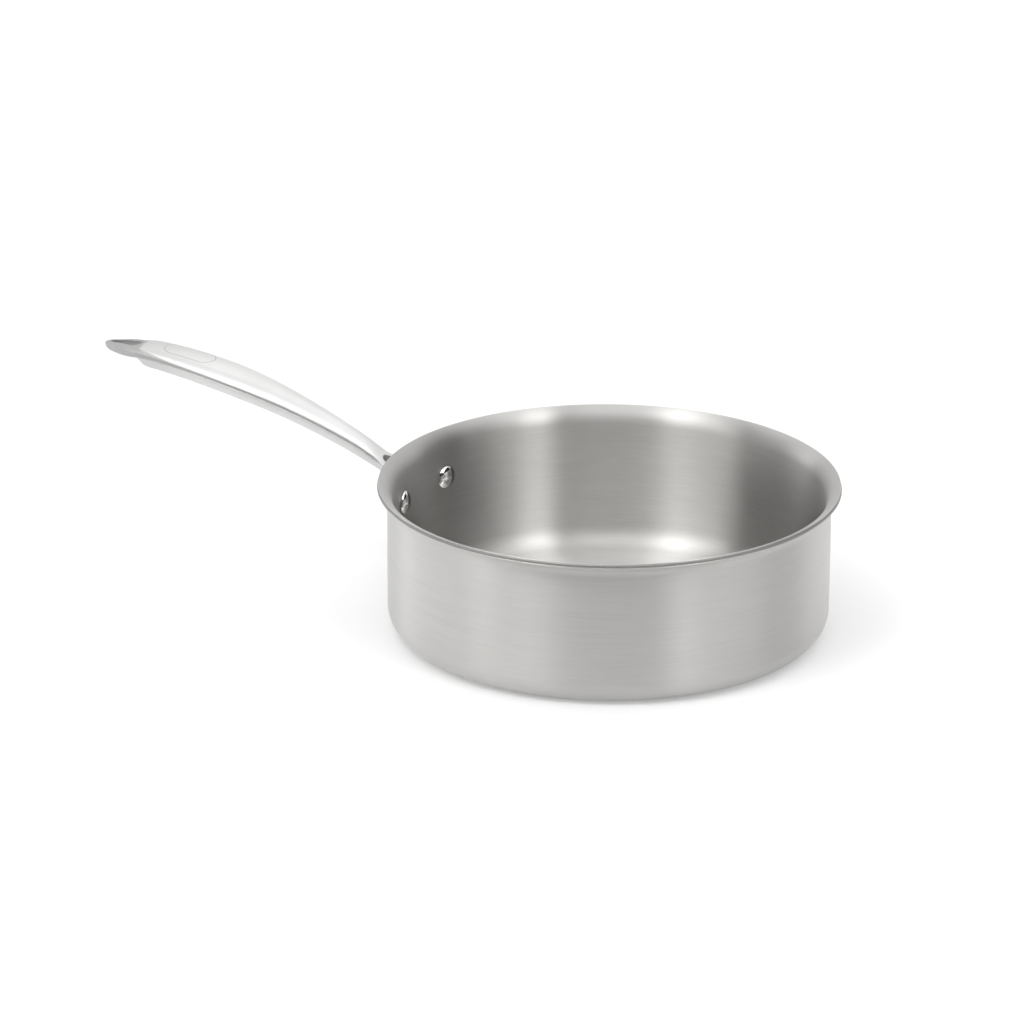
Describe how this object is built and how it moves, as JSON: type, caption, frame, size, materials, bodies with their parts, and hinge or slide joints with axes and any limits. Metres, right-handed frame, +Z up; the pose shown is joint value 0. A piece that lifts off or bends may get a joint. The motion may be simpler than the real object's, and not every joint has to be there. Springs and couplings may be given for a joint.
{
  "type": "saute pan",
  "caption": "Deep straight-sided saute pan with a clad steel body, a flared pouring rim and a long riveted stick handle that ends in a hang eye.",
  "frame": {"origin": "centre of the flat base, on the surface that the pan stands on", "axes": "+Z up along the pan's axis; the handle reaches out along -X"},
  "size_m": [0.4485, 0.251, 0.1131],
  "materials": {
    "outer_steel": "fine brushing around the axis",
    "core_aluminium": "bare trimmed edge",
    "inner_steel": "brushed around the axis",
    "handle_steel": "satin cast steel",
    "rivet_steel": "polished"
  },
  "bodies": {
    "root": {"outer_ply": "outer_steel", "core_ply": "core_aluminium", "inner_ply": "inner_steel", "handle": "handle_steel", "rivet_right": "rivet_steel", "rivet_left": "rivet_steel"}
  },
  "joints": []
}
